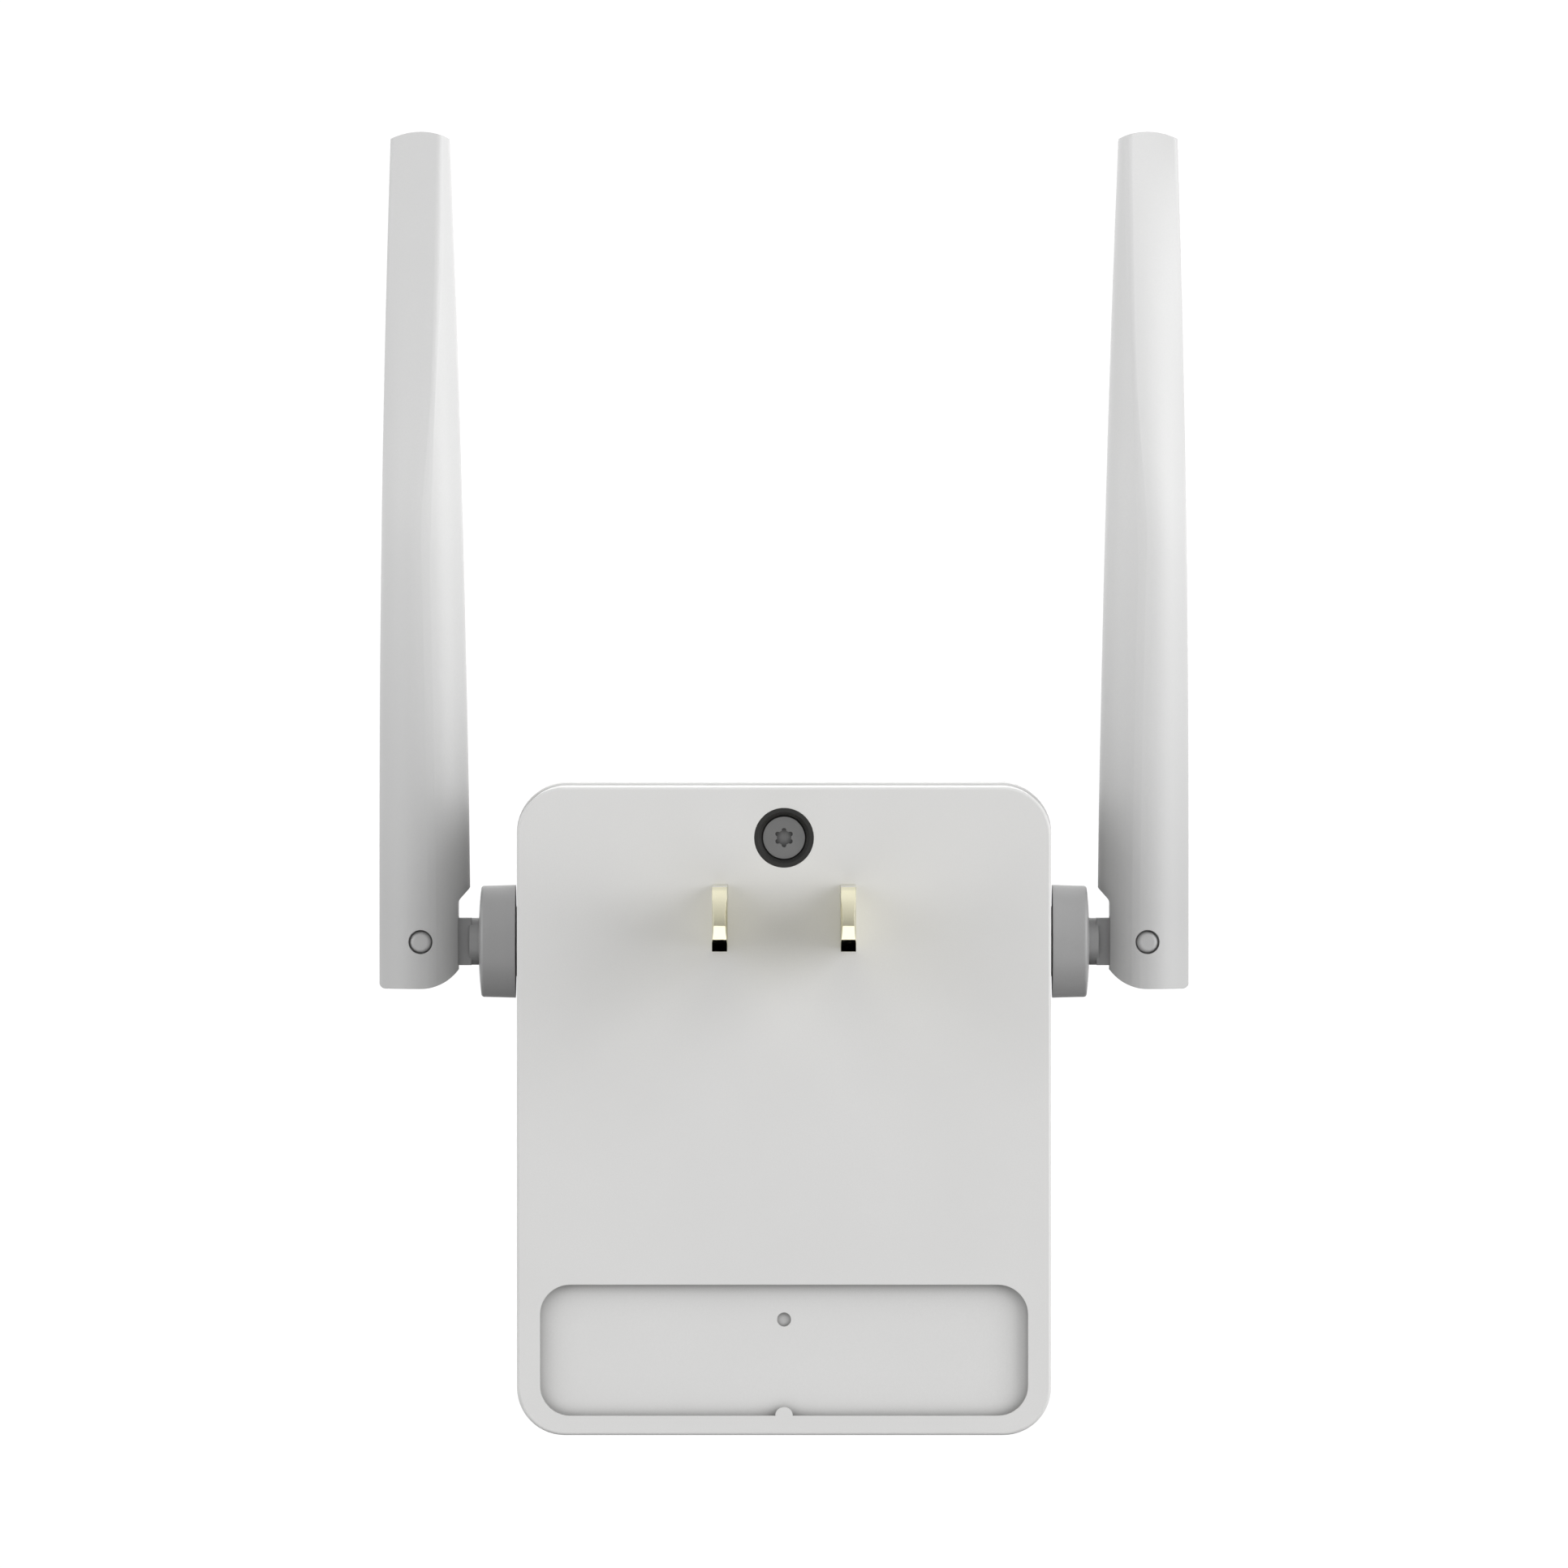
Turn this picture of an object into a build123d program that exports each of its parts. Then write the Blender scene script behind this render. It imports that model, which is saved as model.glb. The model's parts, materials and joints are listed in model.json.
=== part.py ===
from build123d import *
import os
from math import acos, atan2, cos, degrees, radians, sin, sqrt

# A plug-in wifi range extender with two folding antennas, in millimetres.
# +Z is up. The rear face, which lies against the wall, is the plane Y = 0, and the mains blades
# stand out of it along +Y. The lamps and the fascia face -Y. The origin is on the rear face,
# midway between the two blades. Right is +X, as seen from the front.

# ---------------------------------------------------------------- driving dimensions
# Case: a rear cover and a slightly larger front cover that meet on the swivel axis.
REAR_WIDTH = 53.1
REAR_TOP = 12.87
REAR_BOTTOM = -51.55
STEP = 0.25            # how far the front cover stands out past the rear cover
CASE_DEPTH = 34.0
PARTING_Y = -17.0
CORNER_R = 5.0
WALL = 2.0
REAR_EDGE_R = 0.3
STEP_EDGE_R = 0.15
FRONT_EDGE_R = 3.0
CAVITY_HALF = 24.6     # half the width of the space inside both covers
CAVITY_TOP = 10.92
CAVITY_BOTTOM = -49.6
CAVITY_R = 3.0
LIP_THICK = 0.8
LIP_DEPTH = 1.2
FIT_GAP = 0.1          # gap round parts that are clipped or dropped in
RUN_GAP = 0.05         # radial gap of every shaft that turns or slides in a hole
OVERCUT = 1.0          # how far a cut runs on past the faces that it opens
BELOW_CASE = -53.0     # where cuts through the bottom wall start
VENT_WIDTH = 1.2
VENT_X = (11.0, 13.4, 15.8, 18.2)
REAR_VENT_Y = (-5.0, -11.0)
FRONT_VENT_Y = (-20.0, -29.0)

# Rear face
BLADE_X = 6.35         # two-pin mains plug, 12.7 mm between centres
BLADE_HEIGHT = 6.35
BLADE_THICK = 1.5
BLADE_LENGTH = 17.0
BLADE_ROOT_Y = -4.0
BLADE_BEVEL = 0.18
BLADE_BEVEL_LENGTH = 0.6
BLADE_ROUND = 1.3      # how far the rounded tip falls back at its corners
TAB_HEIGHT = 3.0
TAB_THICK = 1.0
TAB_PAST_BOARD = 0.8
CARRIER_HALF = 11.0
CARRIER_Y = -7.0
CARRIER_BOTTOM = -5.2
CARRIER_TOP = 4.6
SCREW_Z = 7.83
GROMMET_R = 2.97
GROMMET_BORE_R = 2.2
GROMMET_MOUTH_R = 2.54
HEAD_R = 2.17
HEAD_TOP_Y = -0.9
HEAD_SEAT_Y = -2.6
HEAD_EDGE_R = 0.12
RECESS_R = 0.96
RECESS_DEPTH = 1.2
LOBES = 6
LOBE_R = 0.23
LOBE_CORE_R = 0.71
SEAT_THICK = 1.0
SHANK_R = 1.2
SHANK_HOLE_R = 1.5
SHANK_CHAMFER = 0.5
SHANK_END_Y = -19.0
BOSS_MEET_Y = -12.0
REAR_BOSS_R = 4.6
FRONT_BOSS_R = 2.9
LABEL_HALF = 24.26
LABEL_TOP = -36.6
LABEL_BOTTOM = -49.62
LABEL_R = 3.0
LABEL_DEPTH = 0.9
DIMPLE_Z = -40.09
DIMPLE_R = 0.69
DIMPLE_DEPTH = 0.35
BUMP_R = 0.87

# Boards
BOARD_THICK = 1.2
POWER_BOARD_Y = CARRIER_Y
POWER_BOARD_HALF = 21.0
POWER_BOARD_TOP = 10.7
POWER_BOARD_BOTTOM = -28.0
POWER_FACE_Y = POWER_BOARD_Y - BOARD_THICK
MAIN_BOARD_Y = -26.4   # rear surface of the main board
MAIN_FACE_Y = MAIN_BOARD_Y - BOARD_THICK
MAIN_BOARD_HALF = 23.4
MAIN_BOARD_TOP = 10.6
MAIN_BOARD_BOTTOM = -49.2
BOSS_HOLE_R = 3.2
POST_R = 1.8
PEG_R = 0.8
PEG_HOLE_R = 0.9
PEG_PAST_BOARD = 0.5
POWER_THROUGH = (POWER_BOARD_Y + OVERCUT, POWER_FACE_Y - OVERCUT)
MAIN_THROUGH = (MAIN_BOARD_Y + OVERCUT, MAIN_FACE_Y - OVERCUT)
POWER_POSTS = [(18.5, 8.0), (-18.5, 8.0), (18.5, -25.6), (-18.5, -25.6)]
MAIN_POSTS = [(20.8, 4.5), (-20.8, 4.5), (20.8, -44.0), (-20.8, -44.0)]

# Parts on the power board: (x, z, radius) of round ones, (x0, x1, height, z0, z1) of blocks
INPUT_CANS = [(-14.0, 5.0, 3.9), (12.8, 6.2, 3.4)]
OUTPUT_CAN = (12.5, -21.0, 4.0)
CAN_HEIGHT = 12.0
CAN_EDGE_R = 0.5
CAN_GROOVE = (1.4, 1.9)
CAN_GROOVE_DEPTH = 0.3
CHOKE = (7.5, -10.5, 3.0)
CHOKE_HEIGHT = 9.0
CHOKE_FLANGE = 1.2
CHOKE_WAIST_R = 2.7
FUSE = (0.0, -2.4, 1.5)
FUSE_HEIGHT = 8.0
FUSE_EDGE_R = 0.6
SAFETY_X = (14.0, 16.6)
SAFETY_FOOT_X = (14.8, 15.8)
SAFETY_Z = -11.0
SAFETY_R = 3.6
SAFETY_EDGE_R = 0.9
SAFETY_LIFT = 4.2
SAFETY_FOOT = 2.0      # height of its foot, and half the foot's width
BRIDGE = (8.8, 13.4, 2.5, -5.2, -1.2)
CONTROLLER = (-20.0, -15.0, 1.6, -23.2, -19.2)
DIODE = (2.6, 7.2, 2.3, -26.6, -23.0)

# Transformer, lying in front of the power board; the winding is round the core's middle leg
CORE_X = (-14.0, 2.0)
CORE_Y = (-14.5, -19.5)
CORE_Z = (-20.6, -6.4)
SIDE_LEG = 2.8
MIDDLE_LEG_X = (-8.2, -3.8)
WINDOW_Z = (-17.6, -9.4)
BOBBIN_WALL = 0.5
BOBBIN_FLANGE_X = (-11.1, -0.9)
BOBBIN_FLANGE_Y = (-11.8, -22.0)
BOBBIN_FOOT_X = (-13.0, 1.0)
BOBBIN_FOOT_Y = -12.2
COIL_X = (-11.0, -1.0)
COIL_Y = (-12.3, -21.7)
COIL_R = 1.5

# Parts on the main board
SHIELD = (-3.0, 17.0, 2.2, -25.0, -7.0)
SHIELD_SHEET = 0.3
SHIELD_EDGE_R = 0.4
PROCESSOR = (-16.0, -6.0, 1.0, -20.0, -10.0)
MEMORY = (-14.0, -9.0, 1.6, -6.0, -2.0)
LED_HALF_X = 0.8
LED_HALF_Z = 0.4
LED_HEIGHT = 0.8

# Front face
FASCIA_MARGIN = 4.2
FASCIA_THICK = 0.8
FASCIA_R = 3.2
LAMP_X = [-9.0, -3.0, 3.0, 9.0]
LAMP_Z = -9.0
LAMP_R = 0.9
LAMP_FLANGE_R = 1.4
LAMP_FLANGE_LENGTH = 2.6

# Network socket, with its mouth in the bottom face
JACK_HALF = 7.95
JACK_REAR_Y = -13.1
JACK_MOUTH_Z = -51.3
JACK_TOP_Z = -33.5
PLUG_HALF = 5.95
PLUG_REAR_Y = -15.2
PLUG_FRONT_Y = -22.6
PLUG_DEPTH = 13.0
LATCH_HALF = 3.1
LATCH_FRONT_Y = -24.8
CONTACTS = 8
CONTACT_PITCH = 1.02
CONTACT_HALF = 0.2
# A contact wire's side view, along Y from the socket's rear wall and up from its inner end
CONTACT_OUTLINE = [(0.5, -9.0), (0.5, 1.2), (-2.6, 1.2), (-2.6, 0.7), (-0.1, -8.6), (-0.1, -9.0)]
CONTACT_HOLLOW = [(0.1, -8.4), (0.1, 0.7), (-2.1, 0.7)]

# Push buttons and the reset switch, on the two sides of the front cover
BUTTON_Y = -24.6
POWER_BUTTON_Z = -22.0
POWER_BUTTON_R = 3.0
WPS_BUTTON_Z = -36.0
WPS_BUTTON_R = 2.5
RESET_Z = -30.0
PINHOLE_R = 0.6
BUTTON_EDGE_R = 0.25
FLANGE_EXTRA = 0.8
FLANGE_THICK = 0.5
SWITCH_FACE_X = 23.4   # front of a switch body, measured from the middle of the case
SWITCH_DEPTH = 3.5
SWITCH_HALF_Z = 3.0
SWITCH_REAR_Y = -22.9
PLUNGER_R = 1.0
PLUNGER_INSET = 1.1
PLUNGER_HOLE_DEPTH = 1.7

# Swivel: the knuckle turns about the X axis line through PARTING_Y, AXIS_Z
AXIS_Z = -2.78
STEM_R = 3.5
STEM_END_X = 22.4
GROOVE_R = 2.7
GROOVE_X0 = 23.4
GROOVE_X1 = 24.1
CLIP_R = 4.9
CLIP_MOUTH_HALF = 2.0
WASHER_R = 5.2
COLLAR_X0 = 26.9
COLLAR_BASE_R = 5.66
COLLAR_RIM_R = 5.58
COLLAR_RIM_X = 30.05
COLLAR_FACE_R = 5.25
COLLAR_X1 = 30.36
DOME_MID = (30.505, 3.9)
DOME_X = 30.57
NECK_R = 2.36
NECK_X1 = 31.53
TONGUE_HALF = 1.7
TONGUE_ROOT = 0.2      # how far the tongue reaches into the neck
BORE_R = 0.7
COAX_R = 0.565

# Tilt hinge: the antenna turns on two short pins along Y, at PIN_X, AXIS_Z
PIN_X = 36.38
PIN_R = 1.08
PIN_HOLE_DEPTH = 0.85
PIN_END = 3.85
PIN_DOME_R = 0.45
PIN_POCKET_R = 1.2
PIN_POCKET_FROM = 3.3
SLOT_HALF = 1.8
SLOT_GAP = 0.14        # between the tongue's rounded end and the slot round it

# Antenna: round at its heel. Higher up, a face on the rear and one on the front cut into the round,
# turn outwards and thin it towards a narrow outer side. Each face meets the round inner side in a crease.
HEEL_R = 4.7
HEEL_X = 32.65
HEEL_CORNER_R = 0.65
NOTCH_LOW = (HEEL_X, 1.3)
NOTCH_HIGH_Z = 2.66
SIDE_CLEARANCE = 0.03  # keeps the outline just off the sides that it leaves uncut
SIDE_RISE = 2.0        # how far the outline runs up a side before it steps clear of it
OUTER_X = 40.57
OUTER_STRAIGHT_TO = 8.0
OUTER_LEAN = 0.000231
INNER_X = 31.47
INNER_STRAIGHT_TO = 3.0
INNER_LEAN = (0.01376, 0.000181)
ANTENNA_HALF = 4.2
OUTER_HALF = 0.5       # half the flat part of the narrow outer side
OUTER_CORNER_R = 0.6
TIP_Z = 78.35
TIP_X = 36.47
TIP_R = 6.7
TIP_REACH = 5.9        # half the outline's width under the tip, where the antenna itself is narrower
CREASE_START_Z = 35.2
CREASE_BEND_R = 445.0
CREASE_R = 0.8
FACE_TURN = 0.3        # how far a face turns outwards, as a share of the crease's angle
SOFT_START = 0.05      # share of its sharpness that the crease starts with
SHARP_AT = 20.0        # crease angle, in degrees, that adds the rest
SOFT_SWEEP = 12.0      # how far the bend reaches back past the crease, in degrees: soft, then sharp
SHARP_SWEEP = 4.0
FACE_FIT_STEPS = 8
ROUND_HEIGHTS = (-9, 6, 21, CREASE_START_Z)
CREASED_HEIGHTS = (CREASE_START_Z, 44, 53, 62, 71, 80)
CHAMBER_X = (34.6, 37.2)
CHAMBER_Z = (4.5, 68.0)
CHAMBER_HALF = 1.2
ELEMENT_THICK = 0.6
ELEMENT_X = (34.8, 37.0)
ELEMENT_Z = (8.0, 66.0)
DIPOLE_GAP_HALF = 0.3
DIPOLE_GAP_Z = (38.0, 41.0)
RIB_HEIGHTS = (20, 42, 62)
RIB_THICK = 1.0
ANTENNA_SPACE_X = (28.0, 44.0)    # a space that holds the whole antenna
ANTENNA_SPACE_Z = (-12.0, 82.0)

# Coaxial leads and the pins between the boards
COAX_PLUG_X = 17.5
COAX_PLUG_R = 1.5
COAX_PLUG_TOP = 2.4
COAX_SOCKET_R = 1.25
COAX_SOCKET_TOP = 1.2
COAX_BEND_R = 2.5
COAX_CHANNEL_HALF = 0.8
SWIVEL_COAX_GAP = 0.3  # between the lead in the case and the one in the turning stem
HINGE_COAX_GAP = 0.1
HINGE_COAX_INSET = 0.5
LINK_X0 = -12.0
LINK_Z = -26.4
LINK_PITCH = 2.54
LINK_PINS = 5
LINK_PIN = 0.64
LINK_PIN_REAR_Y = -6.4
LINK_PIN_FRONT_Y = -28.4
LINK_HEADER_HEIGHT = 2.5


# ---------------------------------------------------------------- shape helpers
def block(x0, x1, y0, y1, z0, z1):
    """A box between two corners."""
    size = (abs(x1 - x0), abs(y1 - y0), abs(z1 - z0))
    return Pos((x0 + x1) / 2, (y0 + y1) / 2, (z0 + z1) / 2) * Box(*size)


def slab(outline, y_rear, y_front):
    """An outline drawn in X and Z, made solid from y_rear forward to y_front."""
    return extrude(Plane.XZ.offset(-y_rear) * outline, amount=y_rear - y_front)


def rounded(half, bottom, top, radius):
    """A rounded rectangle, centred on the case's middle."""
    return Pos(0, (top + bottom) / 2) * RectangleRounded(2 * half, top - bottom, radius)


def rod_y(x, z, radius, y_rear, y_front):
    """A round bar along Y."""
    return slab(Pos(x, z) * Circle(radius), y_rear, y_front)


def rod_x(x0, x1, y, z, radius):
    """A round bar along X."""
    return extrude(Plane.YZ.offset(x0) * Pos(y, z) * Circle(radius), amount=x1 - x0)


def rod_z(x, y, z0, z1, radius):
    """A round bar along Z."""
    return extrude(Plane.XY.offset(z0) * Pos(x, y) * Circle(radius), amount=z1 - z0)


def group(shapes):
    """Separate solids that share one node."""
    return Compound(children=[shape for one in shapes for shape in one.solids()])


def left_of(shape):
    """The left-hand copy of a right-hand piece."""
    return mirror(shape, about=Plane.YZ)


# ---------------------------------------------------------------- the case
def swivel_bore():
    """The hole in both side walls that the knuckle stems turn in."""
    reach = REAR_WIDTH / 2 + STEP + OVERCUT
    return rod_x(-reach, reach, PARTING_Y, AXIS_Z, STEM_R + RUN_GAP)


def jack_window():
    """The opening round the network socket in the bottom wall."""
    half = JACK_HALF + FIT_GAP
    return block(-half, half, JACK_REAR_Y + FIT_GAP, MAIN_BOARD_Y - FIT_GAP,
                 BELOW_CASE, CAVITY_BOTTOM + OVERCUT)


def vent_slots(y_rear, y_front):
    """Cooling slots in the bottom wall, on both sides of the network socket."""
    half = VENT_WIDTH / 2
    return group([block(side * x - half, side * x + half, y_rear, y_front,
                        BELOW_CASE, CAVITY_BOTTOM + OVERCUT) for side in (-1, 1) for x in VENT_X])


def posts(places, y_base, y_seat, y_tip):
    """Board supports, each with a locating peg."""
    seat_ends = sorted((y_base, y_seat), reverse=True)
    peg_ends = sorted((y_base, y_tip), reverse=True)
    return group([rod_y(x, z, POST_R, *seat_ends) + rod_y(x, z, PEG_R, *peg_ends) for x, z in places])


def cavity_outline():
    return rounded(CAVITY_HALF, CAVITY_BOTTOM, CAVITY_TOP, CAVITY_R)


def make_rear_shell():
    """The rear cover's walls and the lip that goes into the front cover."""
    outline = rounded(REAR_WIDTH / 2, REAR_BOTTOM, REAR_TOP, CORNER_R - STEP)
    shell = slab(outline, 0, PARTING_Y)
    shell = fillet(shell.faces().sort_by(Axis.Y)[-1].edges(), REAR_EDGE_R)
    lip = rounded(CAVITY_HALF + LIP_THICK, CAVITY_BOTTOM - LIP_THICK,
                  CAVITY_TOP + LIP_THICK, CAVITY_R + LIP_THICK)
    shell += slab(lip, PARTING_Y, PARTING_Y - LIP_DEPTH)
    return shell - slab(cavity_outline(), -WALL, PARTING_Y - LIP_DEPTH - OVERCUT)


def label_recess():
    """The shallow label field, with a half-round bump on its lower edge and a dimple in its floor."""
    field = slab(rounded(LABEL_HALF, LABEL_BOTTOM, LABEL_TOP, LABEL_R), OVERCUT, -LABEL_DEPTH)
    field -= rod_y(0, LABEL_BOTTOM, BUMP_R, OVERCUT, -LABEL_DEPTH)
    return field + rod_y(0, DIMPLE_Z, DIMPLE_R, OVERCUT, -LABEL_DEPTH - DIMPLE_DEPTH)


def blade_bar(side, y_rear, y_front):
    """A bar with a mains blade's section, which cuts the slot for it."""
    x = side * BLADE_X
    half = BLADE_THICK / 2
    return block(x - half, x + half, y_rear, y_front, -BLADE_HEIGHT / 2, BLADE_HEIGHT / 2)


def tab_bar(side, y_rear, y_front):
    """A bar with the section of the narrow tab behind a mains blade."""
    x = side * BLADE_X
    half = TAB_THICK / 2
    return block(x - half, x + half, y_rear, y_front, -TAB_HEIGHT / 2, TAB_HEIGHT / 2)


def make_rear_cover():
    shell = make_rear_shell()
    screw_boss = rod_y(0, SCREW_Z, REAR_BOSS_R, -WALL, HEAD_SEAT_Y - SEAT_THICK)
    shell += screw_boss & slab(cavity_outline(), 0, PARTING_Y)
    shell += rod_y(0, SCREW_Z, FRONT_BOSS_R, -WALL, BOSS_MEET_Y)
    shell += posts(POWER_POSTS, -WALL, POWER_BOARD_Y, POWER_FACE_Y - PEG_PAST_BOARD)
    shell -= rod_y(0, SCREW_Z, GROMMET_R, OVERCUT, HEAD_SEAT_Y)
    shell -= rod_y(0, SCREW_Z, SHANK_HOLE_R, 0, BOSS_MEET_Y - OVERCUT)
    for side in (-1, 1):
        shell -= blade_bar(side, OVERCUT, -WALL - OVERCUT)
    shell -= label_recess()
    shell -= swivel_bore()
    shell -= jack_window()
    return shell - vent_slots(*REAR_VENT_Y)


def fascia_outline(gap):
    half = REAR_WIDTH / 2 + STEP - FASCIA_MARGIN
    bottom = REAR_BOTTOM - STEP + FASCIA_MARGIN
    top = REAR_TOP + STEP - FASCIA_MARGIN
    return rounded(half + gap, bottom - gap, top + gap, FASCIA_R + gap)


def make_front_shell():
    """The front cover's walls, with a rebate for the rear cover's lip and one for the fascia."""
    outline = rounded(REAR_WIDTH / 2 + STEP, REAR_BOTTOM - STEP, REAR_TOP + STEP, CORNER_R)
    shell = slab(outline, PARTING_Y, -CASE_DEPTH)
    shell = fillet(shell.faces().sort_by(Axis.Y)[0].edges(), FRONT_EDGE_R)
    shell = fillet(shell.faces().sort_by(Axis.Y)[-1].edges(), STEP_EDGE_R)
    shell -= slab(cavity_outline(), PARTING_Y + OVERCUT, -CASE_DEPTH + WALL)
    grow = LIP_THICK + FIT_GAP
    rebate = rounded(CAVITY_HALF + grow, CAVITY_BOTTOM - grow, CAVITY_TOP + grow, CAVITY_R + grow)
    shell -= slab(rebate, PARTING_Y + OVERCUT, PARTING_Y - LIP_DEPTH - FIT_GAP)
    return shell - slab(fascia_outline(FIT_GAP), -CASE_DEPTH + FASCIA_THICK, -CASE_DEPTH - OVERCUT)


def lamp_holes(y_rear):
    """Round holes for the light pipes, from y_rear out through the front."""
    return group([rod_y(x, LAMP_Z, LAMP_R + RUN_GAP, y_rear, -CASE_DEPTH - OVERCUT) for x in LAMP_X])


def make_front_cover():
    shell = make_front_shell()
    shell += rod_y(0, SCREW_Z, FRONT_BOSS_R, BOSS_MEET_Y, -CASE_DEPTH + WALL)
    shell -= rod_y(0, SCREW_Z, SHANK_R, BOSS_MEET_Y + OVERCUT, SHANK_END_Y - OVERCUT)
    shell += posts(MAIN_POSTS, -CASE_DEPTH + WALL, MAIN_FACE_Y, MAIN_BOARD_Y + PEG_PAST_BOARD)
    shell -= lamp_holes(-CASE_DEPTH + WALL + OVERCUT)
    shell -= swivel_bore()
    shell -= jack_window()
    shell -= vent_slots(*FRONT_VENT_Y)
    inner, outer = CAVITY_HALF - OVERCUT, REAR_WIDTH / 2 + STEP + OVERCUT
    shell -= rod_x(-outer, -inner, BUTTON_Y, POWER_BUTTON_Z, POWER_BUTTON_R + RUN_GAP)
    shell -= rod_x(-outer, -inner, BUTTON_Y, WPS_BUTTON_Z, WPS_BUTTON_R + RUN_GAP)
    return shell - rod_x(inner, outer, BUTTON_Y, RESET_Z, PINHOLE_R)


def make_fascia():
    panel = slab(fascia_outline(0), -CASE_DEPTH + FASCIA_THICK, -CASE_DEPTH)
    return panel - lamp_holes(-CASE_DEPTH + FASCIA_THICK + OVERCUT)


def make_light_pipes():
    inner = -CASE_DEPTH + WALL
    return group([rod_y(x, LAMP_Z, LAMP_R, inner, -CASE_DEPTH)
                  + rod_y(x, LAMP_Z, LAMP_FLANGE_R, inner + LAMP_FLANGE_LENGTH, inner) for x in LAMP_X])


# ---------------------------------------------------------------- screw and mains blades
def make_grommet():
    ring = rod_y(0, SCREW_Z, GROMMET_R, 0, HEAD_SEAT_Y)
    ring -= rod_y(0, SCREW_Z, GROMMET_BORE_R, OVERCUT, HEAD_SEAT_Y - OVERCUT)
    cone = Plane.XZ * Pos(0, SCREW_Z) * Circle(GROMMET_MOUTH_R)
    floor = Plane.XZ.offset(-HEAD_TOP_Y) * Pos(0, SCREW_Z) * Circle(GROMMET_BORE_R)
    return ring - loft([cone.face(), floor.face()])


def driver_recess():
    """The six-lobed recess in the screw's head."""
    y_rear, y_front = HEAD_TOP_Y + OVERCUT, HEAD_TOP_Y - RECESS_DEPTH
    shape = rod_y(0, SCREW_Z, LOBE_CORE_R, y_rear, y_front)
    for lobe in PolarLocations(RECESS_R - LOBE_R, LOBES, start_angle=90):
        centre = lobe.position
        shape += rod_y(centre.X, SCREW_Z + centre.Y, LOBE_R, y_rear, y_front)
    return shape


def make_case_screw():
    head = rod_y(0, SCREW_Z, HEAD_R, HEAD_TOP_Y, HEAD_SEAT_Y)
    head = fillet(head.faces().sort_by(Axis.Y)[-1].edges(), HEAD_EDGE_R)
    head -= driver_recess()
    shank = rod_y(0, SCREW_Z, SHANK_R, HEAD_SEAT_Y, SHANK_END_Y)
    return head + chamfer(shank.faces().sort_by(Axis.Y)[0].edges(), SHANK_CHAMFER)


def make_blade(side):
    x = side * BLADE_X
    half = BLADE_THICK / 2
    tall = BLADE_HEIGHT / 2
    shoulder = BLADE_LENGTH - BLADE_ROUND
    side_view = Polyline((shoulder, tall), (BLADE_ROOT_Y, tall), (BLADE_ROOT_Y, -tall), (shoulder, -tall))
    side_view += ThreePointArc((shoulder, -tall), (BLADE_LENGTH, 0), (shoulder, tall))
    blade = extrude(Plane.YZ.offset(x) * make_face(side_view), amount=half, both=True)
    narrow = half - BLADE_BEVEL
    neck = BLADE_LENGTH - BLADE_BEVEL_LENGTH
    plan = Polygon((x - half, BLADE_ROOT_Y), (x + half, BLADE_ROOT_Y), (x + half, neck),
                   (x + narrow, BLADE_LENGTH), (x - narrow, BLADE_LENGTH), (x - half, neck), align=None)
    blade &= extrude(Plane.XY * plan, amount=tall + OVERCUT, both=True)
    return blade + tab_bar(side, BLADE_ROOT_Y, POWER_FACE_Y - TAB_PAST_BOARD)


def make_blade_carrier():
    body = block(-CARRIER_HALF, CARRIER_HALF, -WALL, CARRIER_Y, CARRIER_BOTTOM, CARRIER_TOP)
    body -= rod_y(0, SCREW_Z, REAR_BOSS_R + FIT_GAP, 0, CARRIER_Y - OVERCUT)
    for side in (-1, 1):
        body -= blade_bar(side, 0, BLADE_ROOT_Y)
        body -= tab_bar(side, BLADE_ROOT_Y + OVERCUT, CARRIER_Y - OVERCUT)
    return body


# ---------------------------------------------------------------- power board and its parts
def peg_holes(places, y_rear, y_front):
    return group([rod_y(x, z, PEG_HOLE_R, y_rear, y_front) for x, z in places])


def link_bars(y_rear, y_front):
    """Five square bars side by side: the pins that join the boards, or the holes for them."""
    half = LINK_PIN / 2
    places = [LINK_X0 + LINK_PITCH * k for k in range(LINK_PINS)]
    return group([block(x - half, x + half, y_rear, y_front, LINK_Z - half, LINK_Z + half)
                  for x in places])


def make_power_board():
    board = block(-POWER_BOARD_HALF, POWER_BOARD_HALF, POWER_BOARD_Y, POWER_FACE_Y,
                  POWER_BOARD_BOTTOM, POWER_BOARD_TOP)
    board -= rod_y(0, SCREW_Z, BOSS_HOLE_R, *POWER_THROUGH)
    board -= peg_holes(POWER_POSTS, *POWER_THROUGH)
    for side in (-1, 1):
        board -= tab_bar(side, *POWER_THROUGH)
    return board - link_bars(*POWER_THROUGH)


def on_power_board(x0, x1, height, z0, z1):
    """A block-shaped part standing on the front of the power board."""
    return block(x0, x1, POWER_FACE_Y, POWER_FACE_Y - height, z0, z1)


def make_transformer_core():
    core = block(*CORE_X, *CORE_Y, *CORE_Z)
    y_rear, y_front = CORE_Y[0] + OVERCUT, CORE_Y[1] - OVERCUT
    core -= block(CORE_X[0] + SIDE_LEG, MIDDLE_LEG_X[0], y_rear, y_front, *WINDOW_Z)
    return core - block(MIDDLE_LEG_X[1], CORE_X[1] - SIDE_LEG, y_rear, y_front, *WINDOW_Z)


def middle_leg(gap):
    """The core's middle leg, with a gap round it."""
    return block(MIDDLE_LEG_X[0] - gap, MIDDLE_LEG_X[1] + gap, CORE_Y[0] + gap, CORE_Y[1] - gap, *WINDOW_Z)


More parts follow.
